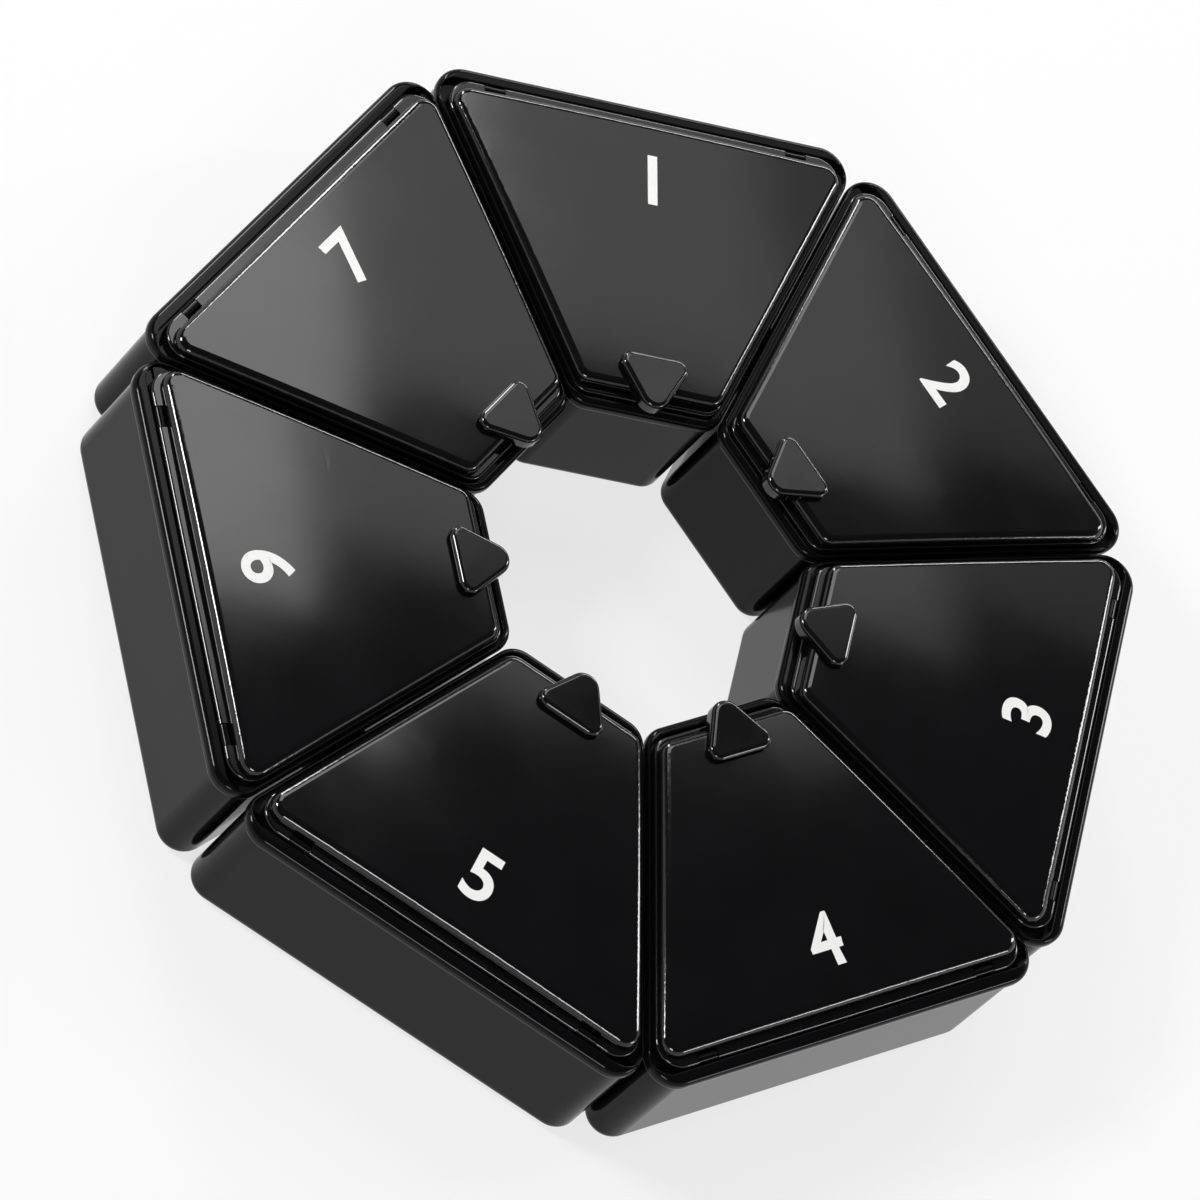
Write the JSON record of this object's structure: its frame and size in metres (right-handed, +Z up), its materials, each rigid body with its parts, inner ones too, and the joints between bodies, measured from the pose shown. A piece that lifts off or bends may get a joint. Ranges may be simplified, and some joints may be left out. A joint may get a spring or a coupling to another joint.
{
  "type": "weekly pill box",
  "caption": "Ring-shaped weekly pill box: wedge-shaped trays joined round an open centre, each with a raised lid hinged at its outer edge and a triangular thumb tab at its inner edge.",
  "frame": {"origin": "on the ring's axis, in the plane that the trays rest on", "axes": "+Z up along the ring's axis; +Y from the axis to the middle of the first tray's outer wall"},
  "size_m": [0.123, 0.12, 0.0214],
  "materials": {
    "tray_plastic": "gloss",
    "lid_plastic": "gloss",
    "tab_plastic": "gloss",
    "key_plastic": "satin",
    "numeral_print": "pad print",
    "pin_steel": "drawn"
  },
  "bodies": {
    "ring": {"tray_1": "tray_plastic", "hinge_pin_1": "pin_steel", "joining_key_1": "key_plastic", "tray_2": "tray_plastic", "hinge_pin_2": "pin_steel", "joining_key_2": "key_plastic", "tray_3": "tray_plastic", "hinge_pin_3": "pin_steel", "joining_key_3": "key_plastic", "tray_4": "tray_plastic", "hinge_pin_4": "pin_steel", "joining_key_4": "key_plastic", "tray_5": "tray_plastic", "hinge_pin_5": "pin_steel", "joining_key_5": "key_plastic", "tray_6": "tray_plastic", "hinge_pin_6": "pin_steel", "joining_key_6": "key_plastic", "tray_7": "tray_plastic", "hinge_pin_7": "pin_steel", "joining_key_7": "key_plastic"},
    "lid_1": {"lid_1": "lid_plastic", "thumb_tab_1": "tab_plastic"},
    "lid_2": {"lid_2": "lid_plastic", "thumb_tab_2": "tab_plastic"},
    "lid_3": {"lid_3": "lid_plastic", "thumb_tab_3": "tab_plastic"},
    "lid_4": {"lid_4": "lid_plastic", "thumb_tab_4": "tab_plastic"},
    "lid_5": {"lid_5": "lid_plastic", "thumb_tab_5": "tab_plastic"},
    "lid_6": {"lid_6": "lid_plastic", "thumb_tab_6": "tab_plastic"},
    "lid_7": {"lid_7": "lid_plastic", "thumb_tab_7": "tab_plastic"}
  },
  "joints": [
    {"name": "lid_1_hinge", "type": "hinge", "parent": "ring", "child": "lid_1", "pos_m": [0, 0.05555, 0.01825], "axis": [-1, 0, 0], "range_deg": [0, 100]},
    {"name": "lid_2_hinge", "type": "hinge", "parent": "ring", "child": "lid_2", "pos_m": [0.04343, 0.03463, 0.01825], "axis": [-0.6235, 0.7818, 0], "range_deg": [0, 100]},
    {"name": "lid_3_hinge", "type": "hinge", "parent": "ring", "child": "lid_3", "pos_m": [0.05416, -0.01236, 0.01825], "axis": [0.2225, 0.9749, 0], "range_deg": [0, 100]},
    {"name": "lid_4_hinge", "type": "hinge", "parent": "ring", "child": "lid_4", "pos_m": [0.0241, -0.05005, 0.01825], "axis": [0.901, 0.4339, 0], "range_deg": [0, 100]},
    {"name": "lid_5_hinge", "type": "hinge", "parent": "ring", "child": "lid_5", "pos_m": [-0.0241, -0.05005, 0.01825], "axis": [0.901, -0.4339, 0], "range_deg": [0, 100]},
    {"name": "lid_6_hinge", "type": "hinge", "parent": "ring", "child": "lid_6", "pos_m": [-0.05416, -0.01236, 0.01825], "axis": [0.2225, -0.9749, 0], "range_deg": [0, 100]},
    {"name": "lid_7_hinge", "type": "hinge", "parent": "ring", "child": "lid_7", "pos_m": [-0.04343, 0.03463, 0.01825], "axis": [-0.6235, -0.7818, 0], "range_deg": [0, 100]}
  ]
}
